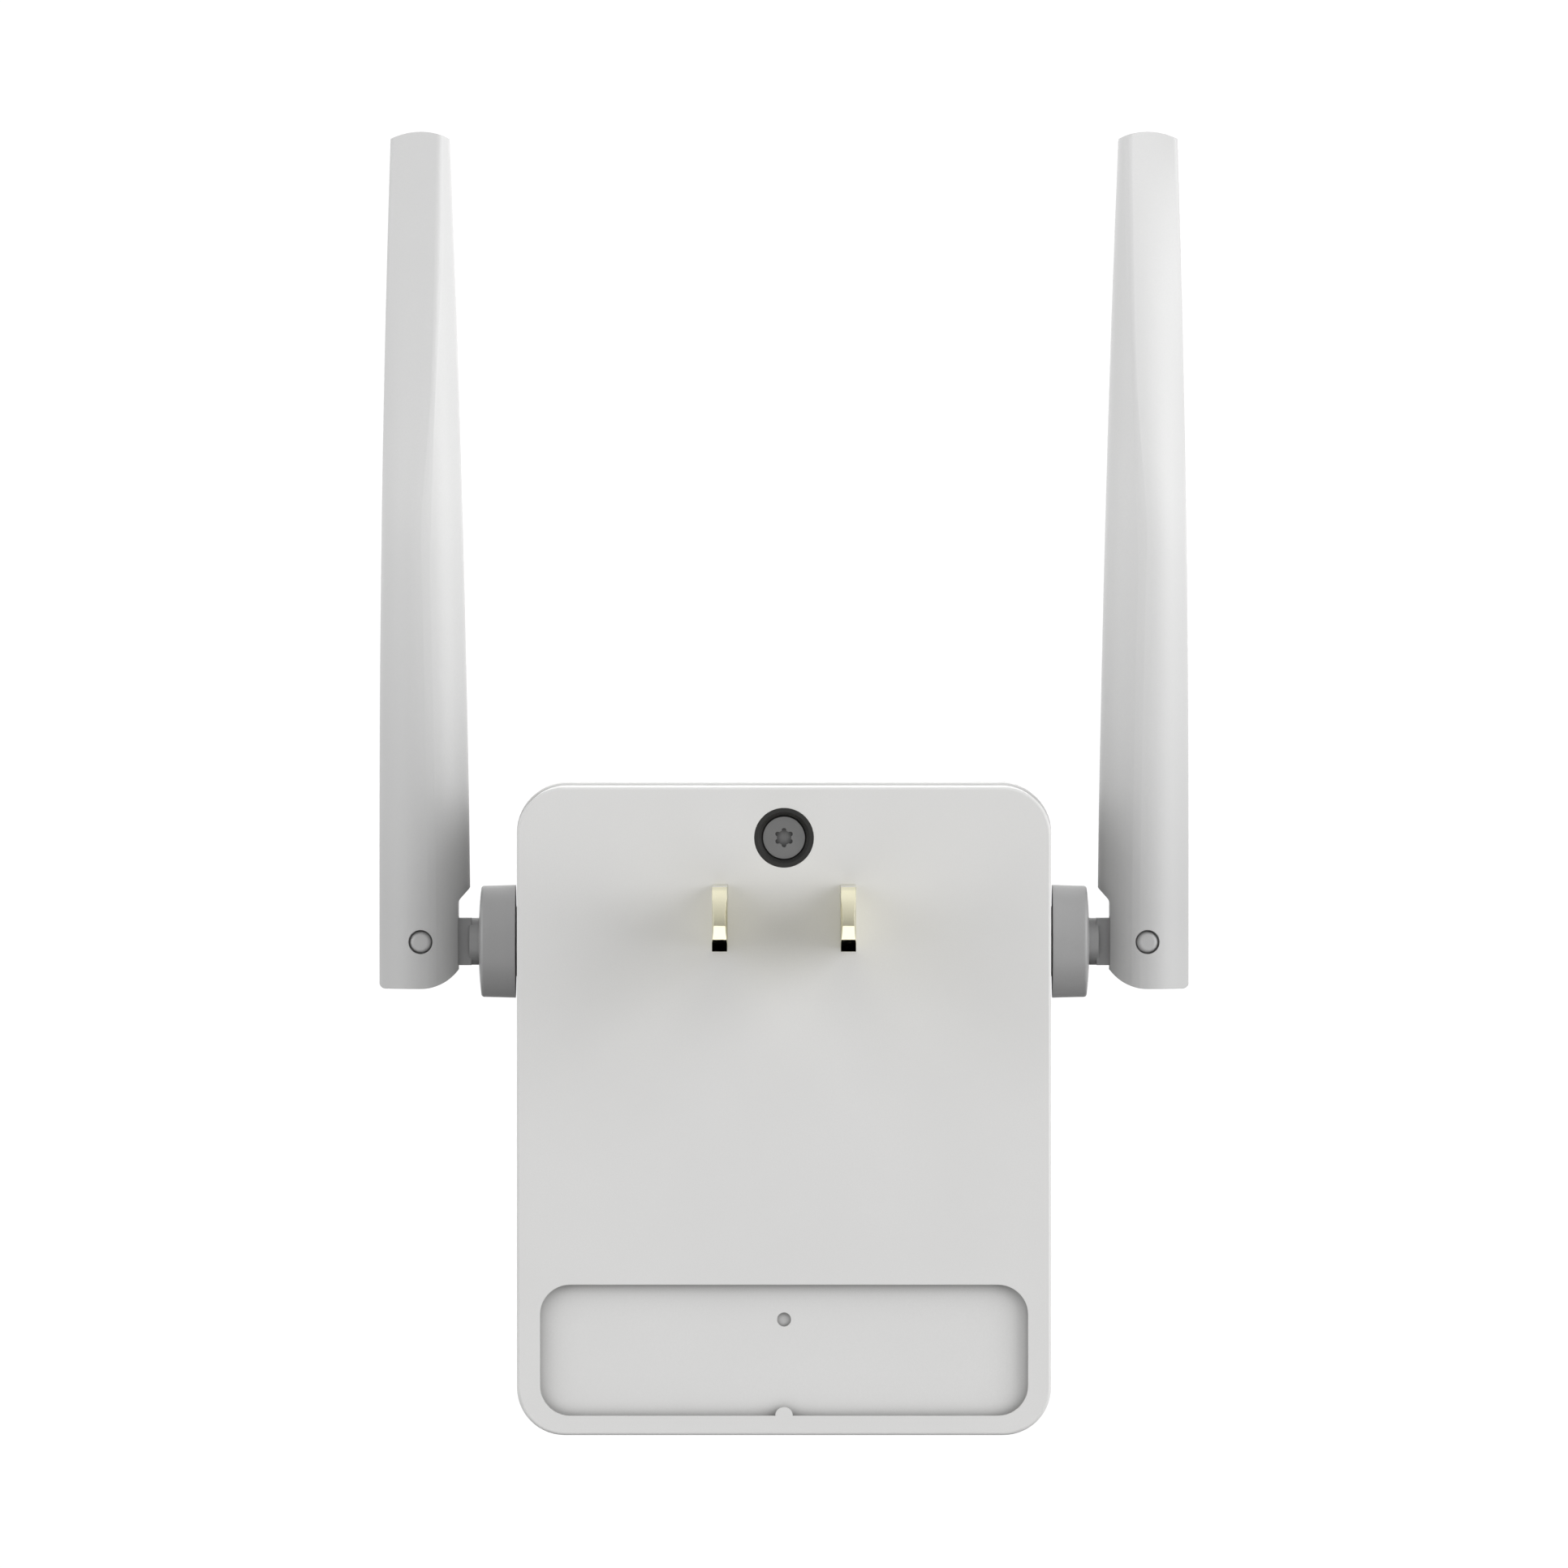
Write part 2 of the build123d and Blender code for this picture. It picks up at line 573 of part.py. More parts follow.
def make_transformer_bobbin():
    low, high = WINDOW_Z
    bobbin = middle_leg(BOBBIN_WALL)
    bobbin += block(*BOBBIN_FLANGE_X, *BOBBIN_FLANGE_Y, low, low + BOBBIN_WALL)
    bobbin += block(*BOBBIN_FLANGE_X, *BOBBIN_FLANGE_Y, high - BOBBIN_WALL, high)
    bobbin += block(*BOBBIN_FOOT_X, POWER_FACE_Y, BOBBIN_FOOT_Y, CORE_Z[0], low + BOBBIN_WALL)
    bobbin += block(*BOBBIN_FOOT_X, POWER_FACE_Y, BOBBIN_FOOT_Y, high - BOBBIN_WALL, CORE_Z[1])
    return bobbin - middle_leg(0)


def make_transformer_winding():
    coil = block(*COIL_X, *COIL_Y, WINDOW_Z[0] + BOBBIN_WALL, WINDOW_Z[1] - BOBBIN_WALL)
    coil = fillet(coil.edges().filter_by(Axis.Z), COIL_R)
    return coil - middle_leg(BOBBIN_WALL)


def on_power_face(x, z, radius, near, far):
    """A round bar in front of the power board, between two distances from it."""
    return rod_y(x, z, radius, POWER_FACE_Y - near, POWER_FACE_Y - far)


def can_capacitor(x, z, radius):
    can = on_power_face(x, z, radius, 0, CAN_HEIGHT)
    can = fillet(can.faces().sort_by(Axis.Y)[0].edges(), CAN_EDGE_R)
    groove = on_power_face(x, z, radius + OVERCUT, *CAN_GROOVE)
    return can - (groove - on_power_face(x, z, radius - CAN_GROOVE_DEPTH, 0, CAN_HEIGHT))


def make_choke():
    x, z, radius = CHOKE
    drum = on_power_face(x, z, radius, 0, CHOKE_HEIGHT)
    waist = on_power_face(x, z, radius + OVERCUT, CHOKE_FLANGE, CHOKE_HEIGHT - CHOKE_FLANGE)
    return drum - (waist - on_power_face(x, z, CHOKE_WAIST_R, 0, CHOKE_HEIGHT))


def make_fuse_resistor():
    body = on_power_face(*FUSE, 0, FUSE_HEIGHT)
    return fillet(body.faces().sort_by(Axis.Y)[0].edges(), FUSE_EDGE_R)


def make_safety_capacitor():
    disc = rod_x(*SAFETY_X, POWER_FACE_Y - SAFETY_LIFT, SAFETY_Z, SAFETY_R)
    disc = fillet(disc.edges(), SAFETY_EDGE_R)
    return disc + block(*SAFETY_FOOT_X, POWER_FACE_Y, POWER_FACE_Y - SAFETY_FOOT,
                        SAFETY_Z - SAFETY_FOOT, SAFETY_Z + SAFETY_FOOT)


def make_link_header():
    first, last = LINK_X0, LINK_X0 + LINK_PITCH * (LINK_PINS - 1)
    half = LINK_PITCH / 2
    body = on_power_board(first - half, last + half, LINK_HEADER_HEIGHT, LINK_Z - half, LINK_Z + half)
    return body - link_bars(LINK_PIN_REAR_Y, LINK_PIN_FRONT_Y)


# ---------------------------------------------------------------- main board and its parts
def make_main_board():
    board = block(-MAIN_BOARD_HALF, MAIN_BOARD_HALF, MAIN_BOARD_Y, MAIN_FACE_Y,
                  MAIN_BOARD_BOTTOM, MAIN_BOARD_TOP)
    board = fillet(board.edges().filter_by(Axis.Y), CAVITY_R)
    board -= rod_y(0, SCREW_Z, BOSS_HOLE_R, *MAIN_THROUGH)
    board -= peg_holes(MAIN_POSTS, *MAIN_THROUGH)
    return board - link_bars(*MAIN_THROUGH)


def on_main_board(x0, x1, height, z0, z1):
    """A block-shaped part standing on the rear of the main board."""
    return block(x0, x1, MAIN_BOARD_Y, MAIN_BOARD_Y + height, z0, z1)


def make_wifi_shield():
    x0, x1, height, z0, z1 = SHIELD
    can = on_main_board(*SHIELD)
    can = fillet(can.faces().sort_by(Axis.Y)[-1].edges(), SHIELD_EDGE_R)
    return can - on_main_board(x0 + SHIELD_SHEET, x1 - SHIELD_SHEET, height - SHIELD_SHEET,
                               z0 + SHIELD_SHEET, z1 - SHIELD_SHEET)


def make_status_leds():
    return group([block(x - LED_HALF_X, x + LED_HALF_X, MAIN_FACE_Y, MAIN_FACE_Y - LED_HEIGHT,
                        LAMP_Z - LED_HALF_Z, LAMP_Z + LED_HALF_Z) for x in LAMP_X])


def make_ethernet_jack():
    body = block(-JACK_HALF, JACK_HALF, JACK_REAR_Y, MAIN_BOARD_Y, JACK_MOUTH_Z, JACK_TOP_Z)
    below, inner_end = JACK_MOUTH_Z - OVERCUT, JACK_MOUTH_Z + PLUG_DEPTH
    body -= block(-PLUG_HALF, PLUG_HALF, PLUG_REAR_Y, PLUG_FRONT_Y, below, inner_end)
    body -= block(-LATCH_HALF, LATCH_HALF, PLUG_FRONT_Y, LATCH_FRONT_Y, below, inner_end)
    for wire in contact_wires():
        body -= wire
    return body


def contact_side_view(offsets):
    """A polygon in Y and Z, from offsets to the inner end of the socket's rear wall."""
    inner_end = JACK_MOUTH_Z + PLUG_DEPTH
    return Polygon(*[(PLUG_REAR_Y + y, inner_end + z) for y, z in offsets], align=None)


def contact_wires():
    """Eight spring wires that lean into the socket from its rear wall."""
    side_view = contact_side_view(CONTACT_OUTLINE) - contact_side_view(CONTACT_HOLLOW)
    places = [(k - (CONTACTS - 1) / 2) * CONTACT_PITCH for k in range(CONTACTS)]
    return [extrude(Plane.YZ.offset(x) * side_view, amount=CONTACT_HALF, both=True) for x in places]


def make_tact_switches():
    bodies = []
    for side, z in ((-1, POWER_BUTTON_Z), (-1, WPS_BUTTON_Z), (1, RESET_Z)):
        body = on_main_board(side * (SWITCH_FACE_X - SWITCH_DEPTH), side * SWITCH_FACE_X,
                             SWITCH_REAR_Y - MAIN_BOARD_Y, z - SWITCH_HALF_Z, z + SWITCH_HALF_Z)
        x0, x1 = sorted((side * (SWITCH_FACE_X - PLUNGER_HOLE_DEPTH), side * (SWITCH_FACE_X + OVERCUT)))
        bodies.append(body - rod_x(x0, x1, BUTTON_Y, z, PLUNGER_R + RUN_GAP))
    return group(bodies)


def make_plunger(side, z):
    """The moving stem of a switch; it rides with whatever presses it."""
    flange_x = CAVITY_HALF - RUN_GAP - FLANGE_THICK
    x0, x1 = sorted((side * (SWITCH_FACE_X - PLUNGER_INSET), side * flange_x))
    return rod_x(x0, x1, BUTTON_Y, z, PLUNGER_R)


def make_button(z, radius):
    """A flush cap in the left wall, kept in by a flange behind the wall."""
    outer = REAR_WIDTH / 2 + STEP
    inner = CAVITY_HALF - RUN_GAP
    cap = rod_x(-outer, -inner, BUTTON_Y, z, radius)
    cap = fillet(cap.faces().sort_by(Axis.X)[0].edges(), BUTTON_EDGE_R)
    return cap + rod_x(-inner, -inner + FLANGE_THICK, BUTTON_Y, z, radius + FLANGE_EXTRA)


# ---------------------------------------------------------------- right swivel knuckle
def turned(points_and_arcs):
    """Revolve a half-section about the swivel axis."""
    axis = Axis((0, PARTING_Y, AXIS_Z), (1, 0, 0))
    return revolve(Plane.XZ.offset(-PARTING_Y) * Pos(0, AXIS_Z) * make_face(points_and_arcs), axis)


def make_knuckle():
    line = Polyline((DOME_X, NECK_R), (NECK_X1, NECK_R), (NECK_X1, 0), (STEM_END_X, 0),
                    (STEM_END_X, STEM_R), (GROOVE_X0, STEM_R), (GROOVE_X0, GROOVE_R),
                    (GROOVE_X1, GROOVE_R), (GROOVE_X1, STEM_R), (COLLAR_X0, STEM_R),
                    (COLLAR_X0, COLLAR_BASE_R), (COLLAR_RIM_X, COLLAR_RIM_R))
    bend = (1 - cos(radians(45))) * (COLLAR_X1 - COLLAR_RIM_X)
    line += ThreePointArc((COLLAR_RIM_X, COLLAR_RIM_R), (COLLAR_X1 - bend, COLLAR_RIM_R - bend),
                          (COLLAR_X1, COLLAR_FACE_R))
    line += ThreePointArc((COLLAR_X1, COLLAR_FACE_R), DOME_MID, (DOME_X, NECK_R))
    knuckle = turned(line)
    tongue = block(NECK_X1 - TONGUE_ROOT, PIN_X, PARTING_Y - TONGUE_HALF, PARTING_Y + TONGUE_HALF,
                   AXIS_Z - NECK_R, AXIS_Z + NECK_R)
    tongue += rod_y(PIN_X, AXIS_Z, NECK_R, PARTING_Y + TONGUE_HALF, PARTING_Y - TONGUE_HALF)
    knuckle += tongue
    for side in (-1, 1):
        y0, y1 = sorted((PARTING_Y + side * PIN_HOLE_DEPTH, PARTING_Y + side * (TONGUE_HALF + OVERCUT)))
        knuckle -= rod_y(PIN_X, AXIS_Z, PIN_R + RUN_GAP, y1, y0)
    return knuckle - rod_x(STEM_END_X - OVERCUT, PIN_X + NECK_R + OVERCUT, PARTING_Y, AXIS_Z, BORE_R)


def make_retaining_clip():
    """A C-shaped clip in the stem's groove, open at the bottom."""
    x0, x1 = GROOVE_X0 + RUN_GAP, GROOVE_X1 - RUN_GAP
    ring = rod_x(x0, x1, PARTING_Y, AXIS_Z, CLIP_R)
    ring -= rod_x(x0 - OVERCUT, x1 + OVERCUT, PARTING_Y, AXIS_Z, GROOVE_R + RUN_GAP)
    return ring - block(x0 - OVERCUT, x1 + OVERCUT, PARTING_Y - CLIP_MOUTH_HALF,
                        PARTING_Y + CLIP_MOUTH_HALF, AXIS_Z - CLIP_R - OVERCUT, AXIS_Z)


def make_friction_washer():
    """Presses the knuckle against the side walls, so that the antenna stays where it is put."""
    x0, x1 = GROOVE_X1, CAVITY_HALF - RUN_GAP
    washer = rod_x(x0, x1, PARTING_Y, AXIS_Z, WASHER_R)
    return washer - rod_x(x0 - OVERCUT, x1 + OVERCUT, PARTING_Y, AXIS_Z, STEM_R + RUN_GAP)


def make_hinge_pins():
    pins = []
    for side in (-1, 1):
        y0, y1 = sorted((PARTING_Y + side * (PIN_HOLE_DEPTH + RUN_GAP), PARTING_Y + side * PIN_END))
        pin = rod_y(PIN_X, AXIS_Z, PIN_R, y1, y0)
        end = pin.faces().sort_by(Axis.Y)[-1 if side > 0 else 0]
        pins.append(fillet(end.edges(), PIN_DOME_R))
    return group(pins)


# ---------------------------------------------------------------- right antenna
def outer_edge(z):
    """X of the antenna's narrow outer side at a height."""
    return OUTER_X - OUTER_LEAN * max(z - OUTER_STRAIGHT_TO, 0) ** 2


def inner_edge(z):
    """X of the antenna's rounded inner side at a height."""
    rise = max(z - INNER_STRAIGHT_TO, 0)
    return INNER_X + INNER_LEAN[0] * rise + INNER_LEAN[1] * rise ** 2


def crease_angle(z):
    """How far round the inner side the crease has moved at a height, in radians."""
    depth = ANTENNA_HALF - max(z - CREASE_START_Z, 0) ** 2 / (2 * CREASE_BEND_R)
    return acos(depth / ANTENNA_HALF)


def on_arc(centre, radius, angle):
    """A point on an arc whose angles are counted from +Y outwards."""
    return centre[0] + radius * sin(angle), centre[1] + radius * cos(angle)


def half_section(z):
    """Rear half of a section, from the inner round over the crease to the outer side."""
    crease = crease_angle(z)
    sharp = min(SOFT_START + degrees(crease) / SHARP_AT, 1)
    bend_r = ANTENNA_HALF + (CREASE_R - ANTENNA_HALF) * sharp
    bend_from = -crease - radians(SOFT_SWEEP + (SHARP_SWEEP - SOFT_SWEEP) * sharp)
    face_from = FACE_TURN * crease
    bend_centre = on_arc((inner_edge(z) + ANTENNA_HALF, 0), ANTENNA_HALF - bend_r, bend_from)
    face_start = on_arc(bend_centre, bend_r, face_from)
    corner = (outer_edge(z) - OUTER_CORNER_R, OUTER_HALF)
    face_to = face_from
    for _ in range(FACE_FIT_STEPS):
        face_end = on_arc(corner, OUTER_CORNER_R, face_to)
        fall = atan2(face_start[1] - face_end[1], face_end[0] - face_start[0])
        face_to = 2 * fall - face_from
    face_r = (face_end[0] - face_start[0]) / (sin(face_to) - sin(face_from))
    face_centre = on_arc(face_start, -face_r, face_from)
    return [on_arc(bend_centre, bend_r, bend_from),
            on_arc(bend_centre, bend_r, (bend_from + face_from) / 2),
            face_start,
            on_arc(face_centre, face_r, (face_from + face_to) / 2),
            face_end,
            on_arc(corner, OUTER_CORNER_R, (face_to + radians(90)) / 2),
            on_arc(corner, OUTER_CORNER_R, radians(90))]


def antenna_section(z):
    """The whole section at a height: both halves, joined by the inner round and the outer side."""
    half = half_section(z)
    rear = [(x, PARTING_Y + y) for x, y in half]
    front = [(x, PARTING_Y - y) for x, y in half]
    lines = ThreePointArc(front[0], (inner_edge(z), PARTING_Y), rear[0])
    for k in (0, 2, 4):
        lines += ThreePointArc(*rear[k:k + 3])
    lines += Line(rear[-1], front[-1])
    for k in (4, 2, 0):
        lines += ThreePointArc(front[k + 2], front[k + 1], front[k])
    return Plane.XY.offset(z) * make_face(lines)


def antenna_outline():
    """Front view: rounded heel, notch above the knuckle and a domed tip; it clears the straight sides."""
    foot_z = AXIS_Z - HEEL_R
    heel_z = AXIS_Z - sqrt(HEEL_R ** 2 - (PIN_X - HEEL_X) ** 2)
    heel_turn = (radians(-90) + atan2(heel_z - AXIS_Z, HEEL_X - PIN_X)) / 2
    heel_mid = (PIN_X + HEEL_R * cos(heel_turn), AXIS_Z + HEEL_R * sin(heel_turn))
    tip_left, tip_right = TIP_X - TIP_REACH, TIP_X + TIP_REACH
    tip_low = TIP_Z - TIP_R + sqrt(TIP_R ** 2 - TIP_REACH ** 2)
    notch_high = (INNER_X - SIDE_CLEARANCE, NOTCH_HIGH_Z)
    corner = (OUTER_X + SIDE_CLEARANCE, foot_z)
    lines = Polyline((tip_right, tip_low), (tip_right, foot_z + SIDE_RISE),
                     (corner[0], foot_z + SIDE_RISE), corner, (PIN_X, foot_z))
    lines += ThreePointArc((PIN_X, foot_z), heel_mid, (HEEL_X, heel_z))
    lines += Polyline((HEEL_X, heel_z), NOTCH_LOW, notch_high, (notch_high[0], NOTCH_HIGH_Z + SIDE_RISE),
                      (tip_left, NOTCH_HIGH_Z + SIDE_RISE), (tip_left, tip_low))
    lines += ThreePointArc((tip_left, tip_low), (TIP_X, TIP_Z), (tip_right, tip_low))
    outline = make_face(lines)
    rounded_corners = [outline.vertices().sort_by_distance((x, z, 0))[0]
                       for x, z in (NOTCH_LOW, notch_high, corner)]
    return fillet(rounded_corners, HEEL_CORNER_R)


def make_antenna_body():
    round_part = loft([antenna_section(z) for z in ROUND_HEIGHTS])
    creased_part = loft([antenna_section(z) for z in CREASED_HEIGHTS])
    return (round_part + creased_part) & slab(antenna_outline(), 0, -CASE_DEPTH)


def make_slot():
    """The space that the tongue swings in, open on the inner side and below."""
    radius = NECK_R + SLOT_GAP
    y0, y1 = PARTING_Y - SLOT_HALF, PARTING_Y + SLOT_HALF
    slot = block(ANTENNA_SPACE_X[0], PIN_X, y0, y1, ANTENNA_SPACE_Z[0], AXIS_Z + radius)
    slot += block(ANTENNA_SPACE_X[0], PIN_X + radius, y0, y1, ANTENNA_SPACE_Z[0], AXIS_Z)
    return slot + rod_y(PIN_X, AXIS_Z, radius, y1, y0)


def make_chamber():
    """The space for the radiating strip, with ribs that hold it, and the channel that its lead comes up."""
    chamber = block(*CHAMBER_X, PARTING_Y - CHAMBER_HALF, PARTING_Y + CHAMBER_HALF, *CHAMBER_Z)
    for z in RIB_HEIGHTS:
        for side in (-1, 1):
            chamber -= block(*CHAMBER_X, PARTING_Y + side * ELEMENT_THICK / 2,
                             PARTING_Y + side * CHAMBER_HALF, z, z + RIB_THICK)
    half = COAX_CHANNEL_HALF
    return chamber + block(PIN_X - half, PIN_X + half, PARTING_Y - half, PARTING_Y + half,
                           AXIS_Z + NECK_R, CHAMBER_Z[0] + OVERCUT)


def make_antenna_halves():
    """Two shells, welded along the middle."""
    body = make_antenna_body() - make_slot() - make_chamber()
    for side in (-1, 1):
        outside = PARTING_Y + side * (ANTENNA_HALF + OVERCUT)
        y0, y1 = sorted((PARTING_Y + side * TONGUE_HALF, outside))
        body -= rod_y(PIN_X, AXIS_Z, PIN_R, y1, y0)
        y0, y1 = sorted((PARTING_Y + side * PIN_POCKET_FROM, outside))
        body -= rod_y(PIN_X, AXIS_Z, PIN_POCKET_R, y1, y0)
    rear = body & block(*ANTENNA_SPACE_X, PARTING_Y, 0, *ANTENNA_SPACE_Z)
    front = body & block(*ANTENNA_SPACE_X, PARTING_Y, -CASE_DEPTH, *ANTENNA_SPACE_Z)
    return rear, front


def make_antenna_element():
    """A printed dipole on a thin strip."""
    half = ELEMENT_THICK / 2
    strip = block(*ELEMENT_X, PARTING_Y - half, PARTING_Y + half, *ELEMENT_Z)
    middle = sum(ELEMENT_X) / 2
    return strip - block(middle - DIPOLE_GAP_HALF, middle + DIPOLE_GAP_HALF, PARTING_Y - OVERCUT,
                         PARTING_Y + OVERCUT, *DIPOLE_GAP_Z)


# ---------------------------------------------------------------- right coaxial lead
def make_case_coax():
    """From the plug on the main board to the inner end of the knuckle."""
    start_x = STEM_END_X - SWIVEL_COAX_GAP
    corner_x = COAX_PLUG_X + COAX_BEND_R
    path = Polyline((start_x, PARTING_Y), (corner_x, PARTING_Y))
    path += CenterArc((corner_x, PARTING_Y - COAX_BEND_R), COAX_BEND_R, 90, 90)
    path += Line((COAX_PLUG_X, PARTING_Y - COAX_BEND_R), (COAX_PLUG_X, MAIN_BOARD_Y + COAX_PLUG_TOP))
    start = Plane(origin=(start_x, PARTING_Y, AXIS_Z), z_dir=(-1, 0, 0))
    return sweep(start * Circle(COAX_R), path=Plane.XY.offset(AXIS_Z) * path)


def make_coax_plug():
    low, high = MAIN_BOARD_Y + COAX_SOCKET_TOP, MAIN_BOARD_Y + COAX_PLUG_TOP
    return rod_y(COAX_PLUG_X, AXIS_Z, COAX_PLUG_R, high, low)


def make_coax_socket():
    return rod_y(COAX_PLUG_X, AXIS_Z, COAX_SOCKET_R, MAIN_BOARD_Y + COAX_SOCKET_TOP, MAIN_BOARD_Y)


def make_knuckle_coax():
    return rod_x(STEM_END_X, PIN_X + NECK_R - HINGE_COAX_INSET, PARTING_Y, AXIS_Z, COAX_R)


def make_antenna_coax():
    return rod_z(PIN_X, PARTING_Y, AXIS_Z + NECK_R + SLOT_GAP + HINGE_COAX_GAP, ELEMENT_Z[0], COAX_R)


# ---------------------------------------------------------------- write the pieces
def main():
    os.makedirs("parts", exist_ok=True)
    rear_half, front_half = make_antenna_halves()
    right_side = {
        "swivel_knuckle": make_knuckle(),
        "swivel_clip": make_retaining_clip(),
        "friction_washer": make_friction_washer(),
        "hinge_pins": make_hinge_pins(),
        "antenna_rear_half": rear_half,
        "antenna_front_half": front_half,
        "antenna_element": make_antenna_element(),
        "case_coax": make_case_coax(),
        "knuckle_coax": make_knuckle_coax(),
        "antenna_coax": make_antenna_coax(),
    }
    for name, shape in right_side.items():
        export_step(shape, f"parts/right_{name}.step")
        export_step(left_of(shape), f"parts/left_{name}.step")
    plug, socket = make_coax_plug(), make_coax_socket()
    export_step(group([plug, left_of(plug)]), "parts/coax_plugs.step")
    export_step(group([socket, left_of(socket)]), "parts/coax_sockets.step")
    export_step(make_rear_cover(), "parts/rear_cover.step")
    export_step(make_front_cover(), "parts/front_cover.step")
    export_step(make_fascia(), "parts/front_fascia.step")
    export_step(make_light_pipes(), "parts/light_pipes.step")
    export_step(make_grommet(), "parts/screw_grommet.step")
    export_step(make_case_screw(), "parts/case_screw.step")
    export_step(make_blade(1), "parts/right_mains_blade.step")
    export_step(make_blade(-1), "parts/left_mains_blade.step")
    export_step(make_blade_carrier(), "parts/blade_carrier.step")
    export_step(make_power_board(), "parts/power_board.step")
    export_step(make_transformer_core(), "parts/transformer_core.step")
    export_step(make_transformer_bobbin(), "parts/transformer_bobbin.step")
    export_step(make_transformer_winding(), "parts/transformer_winding.step")
    export_step(group([can_capacitor(*can) for can in INPUT_CANS]), "parts/input_capacitors.step")
    export_step(can_capacitor(*OUTPUT_CAN), "parts/output_capacitor.step")
    export_step(make_choke(), "parts/input_choke.step")
    export_step(make_fuse_resistor(), "parts/fuse_resistor.step")
    export_step(make_safety_capacitor(), "parts/safety_capacitor.step")
    export_step(on_power_board(*BRIDGE), "parts/bridge_rectifier.step")
    export_step(on_power_board(*CONTROLLER), "parts/power_controller.step")
    export_step(on_power_board(*DIODE), "parts/output_diode.step")
    export_step(link_bars(LINK_PIN_REAR_Y, LINK_PIN_FRONT_Y), "parts/board_link_pins.step")
    export_step(make_link_header(), "parts/board_link_header.step")
    export_step(make_main_board(), "parts/main_board.step")
    export_step(make_wifi_shield(), "parts/wifi_shield.step")
    export_step(on_main_board(*PROCESSOR), "parts/processor_chip.step")
    export_step(on_main_board(*MEMORY), "parts/memory_chip.step")
    export_step(make_status_leds(), "parts/status_leds.step")
    export_step(make_ethernet_jack(), "parts/ethernet_jack.step")
    export_step(group(contact_wires()), "parts/ethernet_contacts.step")
    export_step(make_tact_switches(), "parts/tact_switches.step")
    export_step(make_button(POWER_BUTTON_Z, POWER_BUTTON_R), "parts/power_button.step")
    export_step(make_button(WPS_BUTTON_Z, WPS_BUTTON_R), "parts/wps_button.step")
    export_step(make_plunger(-1, POWER_BUTTON_Z), "parts/power_switch_plunger.step")
    export_step(make_plunger(-1, WPS_BUTTON_Z), "parts/wps_switch_plunger.step")
    export_step(make_plunger(1, RESET_Z), "parts/reset_switch_plunger.step")


main()
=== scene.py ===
import json
from math import cos, radians, sin

import bpy
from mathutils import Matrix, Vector

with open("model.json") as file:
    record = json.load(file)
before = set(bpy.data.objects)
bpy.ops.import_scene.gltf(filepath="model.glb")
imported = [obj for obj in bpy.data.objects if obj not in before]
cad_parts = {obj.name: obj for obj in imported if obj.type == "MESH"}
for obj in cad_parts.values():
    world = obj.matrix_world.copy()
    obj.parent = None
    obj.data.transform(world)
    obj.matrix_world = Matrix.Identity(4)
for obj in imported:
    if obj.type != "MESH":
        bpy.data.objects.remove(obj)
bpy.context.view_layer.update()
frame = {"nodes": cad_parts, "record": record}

# A plug-in wifi range extender, seen from behind: looks, light and camera round the CAD model.
# Lengths are metres, in the CAD model's own frame: +Z up, the mains blades along +Y.
MM = 0.001

# ---------------------------------------------------------------- camera and stage
VIEW_TARGET = Vector((0, -17.0 * MM, 13.0 * MM))
VIEW_ELEVATION = radians(0.6)
VIEW_DISTANCE = 1.8
LENS_MM = 412.0
SENSOR_MM = 36.0
CLIP_NEAR = 0.05
CLIP_FAR = 50.0
FLOOR_Z = -0.30
FLOOR_RADIUS = 0.25
FLOOR_STEP = 3             # degrees between the points of the floor's edge
FLOOR_GLOW = 0.45          # keeps the floor as pale as the backdrop
BACKDROP_LEVEL = 1.05

# ---------------------------------------------------------------- studio light, as brightness by direction
# A band gives two values of a direction's X, Y or Z, between which one part of the light fades to another.
FRONT_BAND = (-0.30, 0.25)     # Y: the half of the studio on the camera's side
FRONT_FILL = 0.25
STRIP_BAND = (0.30, 0.50)      # the distance from X = 0: the strip inside the first, the fill past the second
STRIP_RISE = (-0.25, 0.95)     # Z: where the strip is at STRIP_LOW and at STRIP_HIGH
STRIP_LOW = 0.42               # straight behind the camera, where the blade tips reflect it
STRIP_HIGH = 0.88
STRIP_ON_MATT = 0.44           # the same strip as matt surfaces see it
HORIZON_BAND = (0.10, 0.60)    # the distance from Z = 0: inside the first is the horizon
BACK_HORIZON = 0.85            # behind the part, seen only by mirror-like surfaces: their edges fade to white
BACK_FILL = 0.10
# Soft boxes: where they are, how far they reach and their even core in degrees, their strength, and the
# share of it that mirror-like surfaces see
SOFT_PATCHES = [((-0.90, 0.36, 0.20), 36, 14, 4.2, 0.4), ((0.90, 0.36, 0.20), 36, 14, 2.7, 0.4),
                ((0, 0.10, 1), 45, 20, 0.4, 0.15), ((0, -0.82, 0.57), 50, 25, 2.2, 0.6)]
CARD_TOP = -0.29               # a white card below the camera, from this Z down to its foot
CARD_FOOT = -0.79              # nothing shines from under it
CARD_BLUR = 0.02
CARD_SIDE = (0.45, 0.40)       # the distance from X = 0
CARD_FRONT = (0, 0.1)          # Y
CARD_LEVEL = 0.95
CARD_ON_MATT = 0.70            # how much of the card matt surfaces see

# ---------------------------------------------------------------- surface detail
# Bands of a noise's value, in which nearly all of it lies
FULL_BAND = (0.3, 0.7)
NARROW_BAND = (0.35, 0.65)
UPPER_BAND = (0.35, 0.7)
EDGE_BAND = (0.995, 0.80)      # cosine between a surface and its rounded normal, from flat to a sharp edge
RAY_SAMPLES = 6                # for rounded edges and nooks
GLOSS_SPREAD = 0.05            # how far roughness wanders to either side

